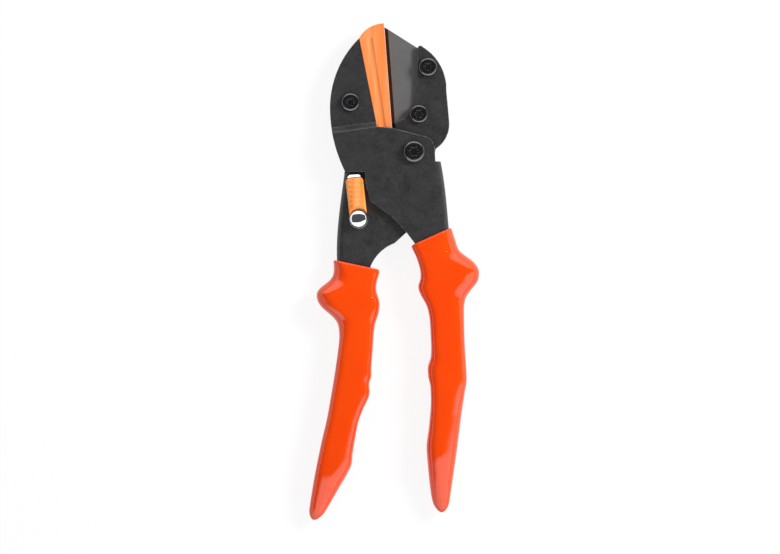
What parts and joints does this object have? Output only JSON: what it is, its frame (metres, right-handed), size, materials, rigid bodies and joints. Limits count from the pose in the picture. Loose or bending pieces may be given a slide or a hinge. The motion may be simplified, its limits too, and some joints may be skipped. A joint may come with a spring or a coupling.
{
  "type": "pruning shears",
  "caption": "Anvil pruning shears with a grey blade that closes on an orange anvil, black pressed plates, a thumb latch and dipped orange grips.",
  "frame": {"origin": "on the pivot axis, at the end face of the pivot nut, which is level with the backs of both grips", "axes": "+Y from the pivot to the jaws, +Z from the back to the front, +X to the blade side of the jaws"},
  "size_m": [0.0721, 0.2101, 0.0155],
  "materials": {
    "black_steel": "satin black, fine grain",
    "coated_blade": "grey non-stick coating",
    "anvil_orange": "moulded, satin",
    "sleeve_orange": "moulded, ribbed",
    "blackened_screw": "blackened, slightly oily",
    "zinc_steel": "zinc plated",
    "slide_plastic": "self-lubricating",
    "bronze": "turned",
    "spring_steel": "drawn wire",
    "chrome": "polished",
    "dipped_grip": "glossy dipped plastic"
  },
  "bodies": {
    "anvil_side": {"anvil_body": "black_steel", "anvil": "anvil_orange", "anvil_screw": "blackened_screw", "anvil_nut": "blackened_screw", "pivot_bolt": "blackened_screw", "pivot_nut": "blackened_screw", "pivot_washer": "zinc_steel", "slide_washer": "slide_plastic", "right_grip": "dipped_grip", "return_spring": "spring_steel"},
    "blade_side": {"blade_body": "black_steel", "blade": "coated_blade", "blade_screw_upper": "blackened_screw", "blade_screw_lower": "blackened_screw", "blade_nut_upper": "blackened_screw", "blade_nut_lower": "blackened_screw", "pivot_bush": "bronze", "left_grip": "dipped_grip", "latch_rivet": "chrome", "latch_washer": "zinc_steel"},
    "latch": {"latch_arm": "chrome", "latch_sleeve": "sleeve_orange"}
  },
  "joints": [
    {"name": "handle_pivot", "type": "hinge", "parent": "anvil_side", "child": "blade_side", "pos_m": [0, 0, 0], "axis": [0, 0, -1], "range_deg": [0, 20], "deforming": ["return_spring"]},
    {"name": "latch_swing", "type": "hinge", "parent": "blade_side", "child": "latch", "pos_m": [-0.0233, -0.0282, 0], "axis": [0, 0, 1], "range_deg": [0, 100]}
  ],
  "couplings": [
    {"joint": "latch_swing", "follows": "handle_pivot", "ratio": 5}
  ]
}
